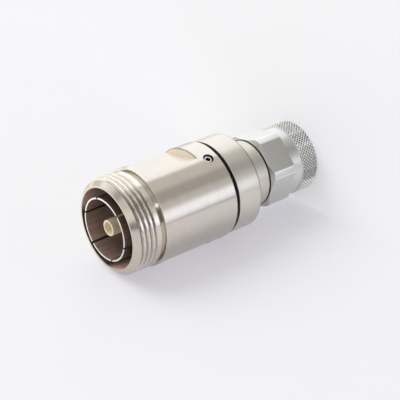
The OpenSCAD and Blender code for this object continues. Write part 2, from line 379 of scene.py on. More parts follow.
def map_range(tree, value, low, high, to_low=0, to_high=1, smooth=False):
    """A Map Range node with a clamped result."""
    made = node(tree, "ShaderNodeMapRange")
    if smooth:
        made.interpolation_type = "SMOOTHSTEP"
    tree.links.new(value, made.inputs["Value"])
    set_inputs(made, {"From Min": low, "From Max": high, "To Min": to_low, "To Max": to_high})
    return made.outputs["Result"]


def noise(tree, vector, scale, detail=3.0, roughness=0.6):
    """A Noise texture's value."""
    made = node(tree, "ShaderNodeTexNoise")
    tree.links.new(vector, made.inputs["Vector"])
    set_inputs(made, {"Scale": scale, "Detail": detail, "Roughness": roughness})
    return made.outputs["Fac"]


def mix_colour(tree, factor, first, second):
    """A colour mix whose inputs are sockets or colours."""
    made = node(tree, "ShaderNodeMix", data_type="RGBA")
    tree.links.new(factor, made.inputs[0])
    for index, value in ((6, first), (7, second)):
        if isinstance(value, tuple):
            made.inputs[index].default_value = (*value, 1)
        else:
            tree.links.new(value, made.inputs[index])
    return made.outputs[2]


def split_vector(tree, vector):
    """The three parts of a vector."""
    made = node(tree, "ShaderNodeSeparateXYZ")
    tree.links.new(vector, made.inputs[0])
    return made.outputs


def vector_node(tree, operation, vector, fixed, label=""):
    """A Vector Math node between a vector and a fixed one."""
    made = node(tree, "ShaderNodeVectorMath", operation=operation, label=label)
    tree.links.new(vector, made.inputs[0])
    made.inputs[1].default_value = fixed
    return made.outputs["Value" if operation == "DOT_PRODUCT" else "Vector"]


def turning_vector(tree, where):
    """Radius and height as a vector, so that a texture forms rings around the axis."""
    x, y, z = split_vector(tree, where)
    across = math_node(tree, "MULTIPLY", x, x)
    along = math_node(tree, "MULTIPLY", y, y)
    radius = math_node(tree, "SQRT", math_node(tree, "ADD", across, along))
    joined = node(tree, "ShaderNodeCombineXYZ")
    tree.links.new(radius, joined.inputs[0])
    tree.links.new(z, joined.inputs[1])
    return joined.outputs[0]


def new_material(name):
    """A material, its node tree, its Principled shader and the place on the object."""
    made = bpy.data.materials.new(name)
    made.use_nodes = True
    tree = made.node_tree
    return made, tree, tree.nodes["Principled BSDF"], node(tree, "ShaderNodeTexCoord").outputs["Object"]


def link_look(tree, shader, colour, roughness):
    """Gives the shader its colour and its roughness."""
    tree.links.new(colour, shader.inputs["Base Color"])
    tree.links.new(roughness, shader.inputs["Roughness"])


def add_bump(tree, shader, height, strength, distance):
    """Gives the shader a bump from a texture, over a distance in millimetres."""
    bump = node(tree, "ShaderNodeBump")
    set_inputs(bump, {"Strength": strength, "Distance": distance * MM})
    tree.links.new(height, bump.inputs["Height"])
    tree.links.new(bump.outputs["Normal"], shader.inputs["Normal"])


# Marks of the lathe: the scale of their rings, and their depth in millimetres
FINE_MARKS = (7000, 0.0012)
NUT_MARKS = (6500, 0.0015)
BODY_MARKS = (6000, 0.002)
SCREW_MARKS = (7000, 0.002)


def turned_metal(name, light, dark, rough, spread=0.05, marks=BODY_MARKS, stretch=0.6, metallic=1.0):
    """Plated metal with fine rings from the lathe, soft smudges and a slightly uneven gloss."""
    made, tree, shader, where = new_material(name)
    rings_at = turning_vector(tree, where)
    lines, depth = marks
    fine = noise(tree, rings_at, scale=lines)
    broad = noise(tree, rings_at, scale=lines / 9, detail=2.0, roughness=0.5)
    smudge = noise(tree, where, scale=170, detail=4.0, roughness=0.55)
    tone = map_range(tree, smudge, 0.35, 0.7)
    streak = map_range(tree, broad, 0.3, 0.7)
    blend = math_node(tree, "MULTIPLY", math_node(tree, "ADD", tone, streak), 0.5)
    gloss = math_node(tree, "MULTIPLY", math_node(tree, "ADD", smudge, fine), 0.5)
    roughness = map_range(tree, gloss, 0.3, 0.7, rough - spread, rough + spread)
    link_look(tree, shader, mix_colour(tree, blend, light, dark), roughness)
    fine_part = math_node(tree, "MULTIPLY", fine, 0.6)
    broad_part = math_node(tree, "MULTIPLY", broad, 1.2)
    add_bump(tree, shader, math_node(tree, "ADD", fine_part, broad_part), 1.0, depth)
    tangent = node(tree, "ShaderNodeTangent", direction_type="RADIAL", axis="Z")
    tree.links.new(tangent.outputs[0], shader.inputs["Tangent"])
    set_inputs(shader, {"Metallic": metallic, "Anisotropic": stretch, "Anisotropic Rotation": 0.25})
    return made


def streaked_metal(name, light, dark, deep_shade, rough, reach, metallic=1.0, shaded_side=None):
    """Plated metal in a bore, with streaks along the axis, and painted shade that darkens it over its reach
    below the mouth.

    The shaded side is a direction around the axis, in degrees, on whose side the metal is painted as dark as
    deep down, as painted shade.
    """
    made, tree, shader, where = new_material(name)
    lengthwise = vector_node(tree, "MULTIPLY", where, (1, 1, 0.03))
    streak = map_range(tree, noise(tree, lengthwise, scale=900), 0.35, 0.65)
    height = split_vector(tree, where)[2]
    # Painted shade: below the mouth the colour darkens to the deep shade
    near = map_range(tree, height, (MOUTH_Z - reach) * MM, MOUTH_Z * MM, smooth=True)
    # On the shaded side the metal is painted as dark as deep down: painted shade
    if shaded_side is not None:
        side = vector_node(tree, "DOT_PRODUCT", where, bearing(shaded_side))
        off_shaded_side = map_range(tree, side, 0.5 * MOUTH_R * MM, 0.75 * MOUTH_R * MM, 1, 0, smooth=True)
        near = math_node(tree, "MULTIPLY", near, off_shaded_side)
    colour = mix_colour(tree, near, deep_shade, mix_colour(tree, streak, light, dark))
    link_look(tree, shader, colour, map_range(tree, streak, 0, 1, rough - 0.08, rough + 0.08))
    shader.inputs["Metallic"].default_value = metallic
    return made


def groove_shaded_metal(name, light, dark, rough, bottom, clear, metallic=1.0):
    """Plated metal with painted shade in its grooves: dark from the radius of their bottom up to one where
    it is clear.
    """
    made, tree, shader, where = new_material(name)
    radius = split_vector(tree, turning_vector(tree, where))[0]
    # Painted shade in the grooves, and a random mottle that varies it and dims the clear metal a little
    rise = map_range(tree, radius, bottom * MM, clear * MM)
    groove_shade_mottle = map_range(tree, noise(tree, where, scale=900), 0.3, 0.7, 0.8, 1.0)
    colour = mix_colour(tree, math_node(tree, "MULTIPLY", rise, groove_shade_mottle), dark, light)
    link_look(tree, shader, colour, map_range(tree, rise, 0, 1, rough + 0.2, rough))
    shader.inputs["Metallic"].default_value = metallic
    return made


def rubber(name, light, dark):
    """Matt rubber with a fine grain."""
    made, tree, shader, where = new_material(name)
    grain = noise(tree, where, scale=2600)
    cloud = map_range(tree, noise(tree, where, scale=240, roughness=0.5), 0.3, 0.7)
    roughness = map_range(tree, grain, 0.3, 0.7, 0.5, 0.75)
    link_look(tree, shader, mix_colour(tree, cloud, light, dark), roughness)
    add_bump(tree, shader, grain, strength=0.5, distance=0.02)
    shader.inputs["Specular IOR Level"].default_value = 0.2
    return made


def plastic(name, light, dark):
    """Smooth insulating plastic with faint cloudiness."""
    made, tree, shader, where = new_material(name)
    cloud = map_range(tree, noise(tree, where, scale=300, detail=4.0, roughness=0.5), 0.3, 0.7)
    rings = noise(tree, turning_vector(tree, where), scale=5200, detail=2.0, roughness=0.5)
    roughness = map_range(tree, rings, 0.3, 0.7, 0.35, 0.5)
    link_look(tree, shader, mix_colour(tree, cloud, light, dark), roughness)
    add_bump(tree, shader, rings, strength=0.4, distance=0.01)
    return made


def bearing(direction, height=0):
    """Unit vector of a direction around the part and a height above the horizon, in degrees."""
    turn = math.radians(direction)
    rise = math.radians(height)
    return (math.cos(turn) * math.cos(rise), math.sin(turn) * math.cos(rise), math.sin(rise))


# Materials of the barrel
barrel_plate = turned_metal(
    "barrel_plate", (0.76, 0.71, 0.65), (0.72, 0.67, 0.61), rough=0.18, spread=0.03, marks=FINE_MARKS)
# Wrench flats: a milled finish without the lathe's stretch, and painted lighter than the barrel as a painted
# highlight
flat_plate = turned_metal(
    "flat_plate", (0.82, 0.775, 0.715), (0.78, 0.735, 0.675), rough=0.36, spread=0.03, marks=FINE_MARKS,
    stretch=0.0)
# Ends of the wrench pockets: lighter than the plating, as a painted highlight
pocket_highlight_plate = turned_metal(
    "pocket_highlight_plate", (0.93, 0.86, 0.74), (0.88, 0.81, 0.69), rough=0.36, spread=0.03, marks=FINE_MARKS,
    stretch=0.0)
# A darker copy of the plating: a painted dark line of shade on a pocket's lip and on the ring's rear edge
edge_shade_plate = turned_metal(
    "edge_shade_plate", (0.42, 0.38, 0.32), (0.34, 0.31, 0.26), rough=0.4, spread=0.03, marks=FINE_MARKS)
bevel_plate = turned_metal(
    "bevel_plate", (0.70, 0.65, 0.585), (0.66, 0.61, 0.55), rough=0.18, spread=0.03, marks=FINE_MARKS)
# Near-black: painted shade in the tapped holes and the key sockets
hole_shade_plate = turned_metal(
    "hole_shade_plate", (0.09, 0.085, 0.08), (0.06, 0.055, 0.05), rough=0.5, marks=SCREW_MARKS)
# Nose thread: the dark colour is painted shade in the thread's grooves
thread_plate = groove_shaded_metal(
    "thread_plate", (0.86, 0.81, 0.75), (0.36, 0.32, 0.28), rough=0.14,
    bottom=THREAD_R - 0.95 * THREAD_DEPTH, clear=THREAD_R - 0.72 * THREAD_DEPTH)
# Mouth's inside: the deep colour is painted shade down the bore, and the side towards 119 degrees is painted
# as dark, as painted shade
mouth_plate = streaked_metal(
    "mouth_plate", (1.0, 0.71, 0.61), (0.90, 0.53, 0.43), (0.07, 0.05, 0.042),
    rough=0.6, reach=24, metallic=0.0, shaded_side=119)

# Materials of the contacts
# Outer contact: the deep colour is painted shade deeper in the mouth
contact_plate = streaked_metal(
    "contact_plate", (0.84, 0.65, 0.565), (0.58, 0.42, 0.355), (0.30, 0.235, 0.21),
    rough=0.34, reach=8, metallic=0.8)
# Outsides of the fingers, in the gap to the mouth's wall: dark as painted shade, darker still deeper in
finger_back_shade = streaked_metal(
    "finger_back_shade", (0.25, 0.215, 0.20), (0.17, 0.145, 0.135), (0.10, 0.085, 0.077), rough=0.4, reach=6)
# Sides of the fingers in their slots: dark as painted shade, darker still deeper in
slot_shade_plate = streaked_metal(
    "slot_shade_plate", (0.14, 0.11, 0.10), (0.10, 0.08, 0.075), (0.04, 0.033, 0.03), rough=0.5, reach=6)
# Finger tips: lighter than the contact, as a painted highlight
tip_highlight_plate = turned_metal("tip_highlight_plate", (0.92, 0.91, 0.89), (0.88, 0.86, 0.84), rough=0.3)
gold_plate = turned_metal("gold_plate", (0.95, 0.86, 0.72), (0.92, 0.82, 0.66), rough=0.6, metallic=0.95)
# Socket's inside: matt, and painted lighter as painted light inside the socket
gold_bore_painted_light = turned_metal("gold_bore_painted_light", (1.0, 0.93, 0.74), (0.98, 0.90, 0.70), rough=0.8, metallic=0.75)
# Socket's rim: painted darker than the contact as painted shade
gold_rim_shade = turned_metal("gold_rim_shade", (0.80, 0.71, 0.58), (0.76, 0.66, 0.53), rough=0.5, metallic=0.95)

# Materials of the rear body, the nut and the small pieces
body_plate = turned_metal(
    "body_plate", (0.76, 0.72, 0.66), (0.72, 0.68, 0.62), rough=0.42, spread=0.04, stretch=0.2)
ring_plate = turned_metal(
    "ring_plate", (0.78, 0.74, 0.68), (0.74, 0.70, 0.64), rough=0.31, spread=0.04, stretch=0.2)
nut_plate = turned_metal(
    "nut_plate", (0.76, 0.75, 0.74), (0.73, 0.72, 0.71), rough=0.33, spread=0.03, marks=NUT_MARKS,
    stretch=0.3)
# Near-white: a painted highlight on the hexagon's edges
nut_edge_highlight = turned_metal(
    "nut_edge_highlight", (1.0, 1.0, 0.99), (0.97, 0.97, 0.96), rough=0.4, marks=NUT_MARKS, stretch=0.0)
# Darker than the nut's plating: painted shade on the hexagon's chamfer
chamfer_shade_plate = turned_metal(
    "chamfer_shade_plate", (0.62, 0.60, 0.57), (0.58, 0.56, 0.53), rough=0.33, spread=0.03, marks=NUT_MARKS,
    stretch=0.3)
# Dark: painted shade on the nut's end, in the gap to the neck
gap_shade_plate = turned_metal("gap_shade_plate", (0.20, 0.18, 0.16), (0.15, 0.135, 0.12), rough=0.4)
# Knurl: the near-black is painted shade in the grooves, and the near-white tops, brighter than the nut's
# plating, are a painted highlight
knurl_plate = groove_shaded_metal(
    "knurl_plate", (0.99, 0.99, 0.98), (0.02, 0.02, 0.02), rough=0.14,
    bottom=KNURL_R - KNURL_DEPTH, clear=KNURL_R - 0.68 * KNURL_DEPTH, metallic=0.9)
# Light steel: on the set screws' faces the light colour is a painted highlight
screw_steel = turned_metal(
    "screw_steel", (0.93, 0.92, 0.90), (0.84, 0.83, 0.81), rough=0.3, spread=0.08, marks=SCREW_MARKS)
# Dark: painted shade on the set screws' turned edges and sides
screw_edge_shade = turned_metal(
    "screw_edge_shade", (0.17, 0.165, 0.16), (0.11, 0.105, 0.10), rough=0.22, marks=SCREW_MARKS)
bead_plastic = plastic("bead_plastic", (0.84, 0.82, 0.77), (0.78, 0.76, 0.71))
seal_rubber = rubber("seal_rubber", (0.010, 0.009, 0.008), (0.007, 0.006, 0.006))
gasket_rubber = rubber("gasket_rubber", (0.36, 0.10, 0.075), (0.28, 0.075, 0.055))


# Barrel with its threaded nose, wrench flats and tapped holes

def barrel_columns():
    """Angles of the barrel's columns, with one on each edge of a flat and of a screw's surroundings."""
    edge = math.acos(FLAT_X / BARREL_R)
    breaks = [edge, math.pi - edge, math.pi + edge, TURN - edge]
    half = math.asin(SCREW_MARGIN / BARREL_R)
    for angle in SCREW_ANGLES:
        breaks += [(angle - half) % TURN, (angle + half) % TURN]
    breaks = sorted(breaks)
    angles = []
    for i, start in enumerate(breaks):
        end = breaks[i + 1] if i + 1 < len(breaks) else breaks[0] + TURN
        count = max(1, math.ceil((end - start) / COLUMN_ANGLE))
        angles += [start + (end - start) * k / count for k in range(count)]
    return np.array(angles)


def thread_radius(height, angles):
    """Radius of the nose thread and of the bevel at the mouth."""
    off_groove = off_helix(height - THREAD_GROOVE_Z, angles - VIEW_ANGLE, THREAD_PITCH)
    flank = np.clip((THREAD_GROOVE_HALF - off_groove) / THREAD_FLANK, 0, 1)
    groove = FLANK_STRAIGHT * flank + (1 - FLANK_STRAIGHT) * smooth_step(0, 1, flank)
    fade = smooth_step(THREAD_START_Z, THREAD_FULL_Z, height)
    bevel = THREAD_R - max(0.0, height - BEVEL_Z) * (THREAD_R - LAND_R) / (MOUTH_Z - BEVEL_Z)
    return np.minimum(THREAD_R - THREAD_DEPTH * groove * fade, bevel)


def barrel_rows(angles):
    """Rows (radius, height) of the barrel's closed profile, from the rear face round to the bore."""
    flat = np.minimum(BARREL_R, FLAT_X / np.maximum(np.abs(np.cos(angles)), LEAST_COSINE))
    lip = np.maximum(flat, BARREL_R - POCKET_EDGE)
    bends = [math.pi / 2 * step / EDGE_STEPS for step in range(EDGE_STEPS + 1)]
    rows = [(BARREL_BORE_R + EDGE, BARREL_Z)]
    for bend in bends:
        radius = BARREL_R - BARREL_EDGE * (1 - math.sin(bend))
        rows.append((radius, BARREL_Z + BARREL_EDGE * (1 - math.cos(bend))))
    rows.append((BARREL_R, BARREL_Z + BARREL_EDGE + SUPPORT))
    rows += [(BARREL_R, height) for height in SCREW_HEIGHTS]
    rows += [(BARREL_R, FLAT_BOTTOM_Z - POCKET_EDGE), (lip, FLAT_BOTTOM_Z), (flat, FLAT_BOTTOM_Z)]
    rows += [(flat, height) for height in np.linspace(FLAT_BOTTOM_Z, FLAT_TOP_Z, FLAT_ROWS)[1:-1]]
    rows += [(flat, FLAT_TOP_Z), (lip, FLAT_TOP_Z), (BARREL_R, FLAT_TOP_Z + POCKET_EDGE)]
    rows.append((BARREL_R, FACE_Z - FACE_EDGE - SUPPORT))
    for bend in bends:
        radius = BARREL_R - FACE_EDGE * (1 - math.cos(bend))
        rows.append((radius, FACE_Z - FACE_EDGE * (1 - math.sin(bend))))
    rows += [(RELIEF_R, FACE_Z), (RELIEF_R, RELIEF_TOP_Z)]
    rows += [(THREAD_R - RUNOUT, RELIEF_TOP_Z), (THREAD_R, RELIEF_TOP_Z + RUNOUT)]
    rows += [(THREAD_R, height) for height in THREAD_PLAIN_Z]
    heights = np.linspace(THREAD_START_Z, MOUTH_Z, THREAD_ROWS)
    rows += [(thread_radius(height, angles), height) for height in heights[:-1]]
    rows += [(LAND_R + LAND_EDGE, MOUTH_Z - LAND_EDGE), (LAND_R - LAND_ROUND, MOUTH_Z)]
    rows += [(MOUTH_R + EDGE, MOUTH_Z), (MOUTH_R + MOUTH_ROUND, MOUTH_Z - MOUTH_ROUND)]
    rows.append((MOUTH_R, MOUTH_Z - EDGE))
    rows += [(MOUTH_R, height) for height in MOUTH_ROWS_Z]
    rows += [(MOUTH_R, SHOULDER_Z), (BARREL_BORE_R, SHOULDER_Z)]
    rows += [(BARREL_BORE_R, height) for height in BORE_ROWS_Z]
    rows += [(BARREL_BORE_R, height) for height in SCREW_HEIGHTS[::-1]]
    rows.append((BARREL_BORE_R, BARREL_Z + EDGE))
    return rows


def hole_edge(columns, low_row, high_row):
    """Grid places around a block of the barrel's grid, in order, and the rows of the block's faces."""
    step = 1 if high_row > low_row else -1
    rows = list(range(low_row, high_row + step, step))
    places = [(rows[0], column) for column in columns[:-1]]
    places += [(row, columns[-1]) for row in rows[:-1]]
    places += [(rows[-1], column) for column in columns[:0:-1]]
    places += [(row, columns[0]) for row in rows[:0:-1]]
    return places, set(range(min(rows), max(rows)))


def make_barrel():
    """The barrel's mesh, with its tapped holes cut clean through the wall."""
    angles = barrel_columns()
    width = len(angles)
    rows = barrel_rows(angles)
    points = np.concatenate(rows_around(rows, angles))
    heights = [float(np.max(height)) for radius, height in rows]
    outer_low = next(i for i, height in enumerate(heights) if abs(height - SCREW_HEIGHTS[0]) < SAME)
    outer_high = outer_low + HOLE_ROWS - 1
    inner_low = len(rows) - 2
    inner_high = inner_low - (HOLE_ROWS - 1)

    # Rings of a hole, from outside to inside: surface, radius, share of the way to it, depth
    outside = BARREL_R
    inside = BARREL_BORE_R
    rings = [(outside, SCREW_HOLE_R + HOLE_EDGE, share, 0) for share in (0.4, 0.75, 1.0)]
    rings += [(outside, SCREW_HOLE_R, 1.0, HOLE_CHAMFER), (outside, SCREW_HOLE_R, 1.0, HOLE_WALL)]
    rings += [(inside, SCREW_HOLE_R, 1.0, 0), (inside, SCREW_HOLE_R, 0.5, 0)]

    removed = set()
    extra_points = []
    extra_faces = []
    half = math.asin(SCREW_MARGIN / BARREL_R)
    for screw in SCREW_ANGLES:
        turn = (angles - screw + math.pi) % TURN - math.pi
        columns = [i for i in np.argsort(turn) if abs(turn[i]) < half + SAME]
        outer, outer_rows = hole_edge(columns, outer_low, outer_high)
        inner, inner_rows = hole_edge(columns, inner_low, inner_high)
        for column in columns[:-1]:
            removed |= {(row, column) for row in outer_rows | inner_rows}
        loops = [[row * width + column for row, column in outer]]
        turned = Matrix.Rotation(screw, 3, "Z")
        for surface, hole, share, sunk in rings:
            places = outer if surface == outside else inner
            loop = []
            for row, column in places:
                side = surface * math.sin(turn[column])
                rise = heights[row] - SCREW_Z
                reach = math.hypot(side, rise)
                side += (side / reach * hole - side) * share
                rise += (rise / reach * hole - rise) * share
                out = math.sqrt(surface * surface - side * side) - sunk
                loop.append(len(points) + len(extra_points))
                extra_points.append(turned @ Vector((out, side, rise)) + Vector((0, 0, SCREW_Z)))
            loops.append(loop)
        loops.append([row * width + column for row, column in inner])
        for near, far in zip(loops, loops[1:]):
            for i in range(len(near)):
                j = (i + 1) % len(near)
                extra_faces.append((near[i], near[j], far[j], far[i]))
    faces = grid_faces(len(rows), width)
    kept = [face for i, face in enumerate(faces) if (i // width, i % width) not in removed]
    every = np.concatenate([points, np.array([tuple(point) for point in extra_points])])
    materials = [barrel_plate, mouth_plate, edge_shade_plate, thread_plate]
    materials += [flat_plate, hole_shade_plate, bevel_plate, pocket_highlight_plate]
    add_piece("barrel_turned", every, kept + extra_faces, "adapter",
              materials, ["barrel"], barrel_material)


def barrel_material(radius, height):
    """The mouth's inside is matt with painted shade deeper in, and the nose, the bevel, the wrench flats and
    the holes have their own finish: painted shade in the thread's grooves and the holes, flats painted
    lighter, a painted highlight on the pocket ends, and a painted dark line of shade on each pocket's lip.
    """
    if radius < MOUTH_R + NEAR and height < MOUTH_Z - EDGE + NEAR:
        return mouth_plate
    if RELIEF_TOP_Z < height < BEVEL_Z - NEAR:
        return thread_plate
    if FLAT_BOTTOM_Z + TOUCH < height < FLAT_TOP_Z - TOUCH and radius < BARREL_R - TOUCH:
        return flat_plate
    # The pocket ends carry a painted highlight
    off_pocket_end = min(abs(height - FLAT_BOTTOM_Z), abs(height - FLAT_TOP_Z))
    if off_pocket_end < TOUCH / 2 and radius > FLAT_X - TOUCH:
        return pocket_highlight_plate
    # The holes' walls are painted near-black as shade
    in_wall = BARREL_BORE_R + HOLE_END < radius < BARREL_R - NEAR
    if in_wall and abs(height - SCREW_Z) < SCREW_HOLE_R + HOLE_EDGE:
        return hole_shade_plate
    if height > BEVEL_Z - NEAR:
        return bevel_plate
    # A painted dark line of shade along the lip at the bottom end of each pocket
    on_lip = BARREL_R - POCKET_EDGE < radius < BARREL_R - 2 * NEAR
    if on_lip and FLAT_BOTTOM_Z - POCKET_EDGE < height < FLAT_BOTTOM_Z:
        return edge_shade_plate
    return barrel_plate


make_barrel()


# Set screws with a key socket

def make_screws():
    """The three set screws, each with a turned edge on its head and a hexagonal key socket."""
    count = SCREW_COLUMNS
    turns = even_angles(count)
    key = SCREW_KEY_AF / 2 / np.cos(off_middle(turns))
    head = BARREL_R - SCREW_SUNK
    face_r = SCREW_R - SCREW_BEVEL_W
    rings = [(SCREW_R - EDGE, SLEEVE_R), (SCREW_R, SLEEVE_R + EDGE)]
    rings += [(SCREW_R, head - SCREW_BEVEL), (face_r + SCREW_ROUND, head - SCREW_ROUND), (face_r, head)]
    rings += [(key + FINE_EDGE, head), (key, head - FINE_EDGE), (key, head - SCREW_KEY_DEPTH)]
    points = []
    faces = []
    for screw in SCREW_ANGLES:
        turned = np.array(Matrix.Rotation(screw, 3, "Z"))
        first = len(points)
        for radius, out in rings:
            radius = np.broadcast_to(radius, turns.shape)
            ring = np.stack([np.full(count, out), radius * np.cos(turns), radius * np.sin(turns)], axis=1)
            points.extend(ring @ turned.T + np.array([0, 0, SCREW_Z]))
        last = first + count * (len(rings) - 1)
        faces += grid_faces(len(rings), count, first)[:-count]
        faces.append(tuple(range(first, first + count)))
        faces.append(tuple(range(last, last + count)))
    materials = [screw_steel, screw_edge_shade, hole_shade_plate]
    screws = add_piece("set_screws_turned", np.array(points), faces, "adapter",
                       materials, ["set_screws"])
    for face in screws.data.polygons:
        x, y, z = face.center / MM
        out = math.hypot(x, y)
        turn = math.atan2(y, x)
        screw = min(SCREW_ANGLES, key=lambda angle: abs((turn - angle + math.pi) % TURN - math.pi))
        off = math.hypot(out * math.sin(turn - screw), z - SCREW_Z)
        # The edge and sides are painted dark as shade, the face light as a painted highlight, and the key
        # socket near-black as painted shade
        finish = screw_edge_shade if off > face_r else screw_steel
        if off < SCREW_KEY_AF / 2 + KEY_WALL and out < head - KEY_SUNK:
            finish = hole_shade_plate
        face.material_index = materials.index(finish)


make_screws()


# Outer contact with its six spring fingers

def finger_angles(radius):
    """Angles of the columns at a radius: each finger from slot to slot, then the slot's middle."""
    step = TURN / FINGER_COUNT
    shares = np.linspace(0, 1, FINGER_COLUMNS + 1)
    edge = math.asin(SLOT_W / 2 / radius)
    angles = []
    for k in range(FINGER_COUNT):
        start = FINGER_ANGLE + k * step
        angles += list(start + edge + shares * (step - 2 * edge))
        angles.append(start + step)
    return np.array(angles)


def make_fingers():
    """The slotted sleeve in the mouth, with rounded finger tips."""
    outer_angles = finger_angles(FINGER_R)
    inner_angles = finger_angles(FINGER_BORE_R)
    width = len(outer_angles)
    block = FINGER_COLUMNS + 2

    # The sleeve up to the slots
    outer_path = [(LINE_R, SKIRT_Z), (SLEEVE_R - EDGE, SKIRT_Z), (SLEEVE_R, SKIRT_Z + EDGE)]
    outer_path += [(SLEEVE_R, SHOULDER_Z), (FLANGE_R, SHOULDER_Z)]
    outer_path += [(FLANGE_R, FLANGE_Z - EDGE), (FLANGE_R - EDGE, FLANGE_Z)]
    outer_path += [(FINGER_R + FINGER_FILLET, FLANGE_Z)]
    outer_path += [(FINGER_R + FINGER_FILLET_MID, FLANGE_Z + FINGER_FILLET_MID)]
    outer_path += [(FINGER_R, FLANGE_Z + FINGER_FILLET), (FINGER_R, SLOT_Z)]
    inner_path = [(FINGER_BORE_R, SLOT_Z), (FINGER_BORE_R, LINE_TOP_Z), (LINE_R, LINE_TOP_Z)]
    rows = rows_around(outer_path, outer_angles) + rows_around(inner_path, inner_angles)
    top_outer = len(outer_path) - 1
    top_inner = len(outer_path)
    points = list(np.concatenate(rows))
    faces = []
    for index, face in enumerate(grid_faces(len(rows), width)):
        in_slot = index % width % block >= FINGER_COLUMNS
        if index // width != top_outer or in_slot:
            faces.append(face)

    # The fingers above them: inset from the finger's wall, and height
    levels = [(0, height) for height in FINGER_ROWS_Z] + [(0, TIP_Z - TIP_FLAT), (0, TIP_Z - TIP_ROUND)]
    levels += [(TIP_ROUND_MID, TIP_Z - TIP_ROUND_MID), (TIP_ROUND, TIP_Z), (TIP_FLAT, TIP_Z)]
    sides = [(FINGER_R, -1, outer_angles, top_outer), (FINGER_BORE_R, 1, inner_angles, top_inner)]
    for k in range(FINGER_COUNT):
        columns = [k * block + i for i in range(FINGER_COLUMNS + 1)]
        paths = []
        for radius, sign, angles, start_row in sides:
            path = [[start_row * width + column for column in columns]]
            for inset, height in levels:
                path.append([len(points) + i for i in range(len(columns))])
                points.extend(around(radius + sign * inset, height, angles[columns]))
            paths.append(path)
        outer, inner = paths
        strips = [*zip(outer, outer[1:]), *zip(inner, inner[1:]), (outer[-1], inner[-1])]
        for near, far in strips:
            faces += [(near[i], near[i + 1], far[i + 1], far[i]) for i in range(FINGER_COLUMNS)]
        for end in (0, FINGER_COLUMNS):
            for low in range(len(levels)):
                high = low + 1
                faces.append((outer[low][end], outer[high][end], inner[high][end], inner[low][end]))
    add_piece("finger_sleeve", np.array(points), faces, "adapter",
              [contact_plate, tip_highlight_plate, finger_back_shade, slot_shade_plate], ["outer_contact"], finger_material)


def finger_material(radius, height):
    """The finger tips carry a painted highlight, and the outsides and the slots are painted dark as painted
    shade.
    """
    if height > TIP_Z - EDGE:
        return tip_highlight_plate
    if height > FLANGE_Z - FINE_EDGE and radius > FINGER_R - FINE_EDGE:
        return finger_back_shade
    return slot_shade_plate if height > SLOT_Z and radius > FINGER_BORE_R + EDGE else contact_plate


make_fingers()


# Turned pieces with rounded edges

def make_turned(name, corners, count, body, materials, nodes, choose=None):
    """A lathe piece from a closed profile with rounded corners."""
    rows = rows_around(rounded(corners), even_angles(count))
    add_piece(name, np.concatenate(rows), grid_faces(len(rows), count), body, materials, nodes, choose)


def contact_material(radius, height):
    """The socket in the centre contact has a matt wall that is painted lighter as painted light, and its rim
    is painted darker as painted shade.
    """
    if radius < SOCKET_R + TOUCH and height > SOCKET_Z - SOCKET_FLOOR:
        return gold_bore_painted_light
    return gold_rim_shade if height > CONTACT_TOP_Z - RIM_SHADE_BAND else gold_plate


def body_material(radius, height):
    """The wide ring is smoother than the rest, and its rear edge is painted dark as painted shade."""
    if radius > RING_R - RING_REAR_EDGE and height < RING_Z + RING_SHADE_BAND:
        return edge_shade_plate
    return ring_plate if radius > RING_FINISH_R else body_plate


make_turned("rear_body_turned", [
    (PLUG_BORE_R, SHAFT_Z, EDGE), (SHAFT_R, SHAFT_Z, SHAFT_EDGE), (SHAFT_R, GROOVE_Z, 0),
    (SHAFT_GROOVE_R, GROOVE_Z, 0), (SHAFT_GROOVE_R, GROOVE_TOP_Z, 0), (SHAFT_R, GROOVE_TOP_Z, 0),
    (SHAFT_R, SHAFT_TOP_Z, 0), (NECK_R, SHAFT_TOP_Z, NECK_EDGE), (NECK_R, RING_Z, NECK_FILLET),
    (RING_R, RING_Z, RING_REAR_EDGE), (RING_R, RING_TOP_Z, RING_FRONT_EDGE), (SPIGOT_R, RING_TOP_Z, 0),
    (SPIGOT_R, SPIGOT_TOP_Z, NECK_EDGE), (REAR_BORE_R, SPIGOT_TOP_Z, EDGE),
    (REAR_BORE_R, PLUG_BORE_TOP_Z, 0), (PLUG_BORE_R, PLUG_BORE_TOP_Z, 0),
], BODY_COLUMNS, "adapter", [body_plate, ring_plate, edge_shade_plate], ["rear_body"], body_material)

make_turned("seal_moulded", [
    (SEAL_BORE_R, RING_TOP_Z, EDGE), (SEAL_R, RING_TOP_Z, SEAL_EDGE),
    (SEAL_R, BARREL_Z, SEAL_EDGE), (SEAL_BORE_R, BARREL_Z, EDGE),
], SEAL_COLUMNS, "adapter", [seal_rubber], ["seal_ring"])

make_turned("centre_contact_turned", [
    (0, TAIL_Z, 0), (TAIL_R, TAIL_Z, EDGE), (TAIL_R, CONTACT_Z, 0), (CONTACT_R, CONTACT_Z, EDGE),
    (CONTACT_R, CONTACT_TOP_Z, CONTACT_EDGE), (SOCKET_R, CONTACT_TOP_Z, CONTACT_EDGE),
    (SOCKET_R, SOCKET_Z, EDGE), (0, SOCKET_Z, 0),
], CONTACT_COLUMNS, "adapter", [gold_plate, gold_bore_painted_light, gold_rim_shade], ["centre_contact"],
    contact_material)


# Coupling nut with its hexagon, collar, diamond knurl and inside thread

HEX_CORNER = math.acos(HEX_APOTHEM / HEX_TURNED_R)


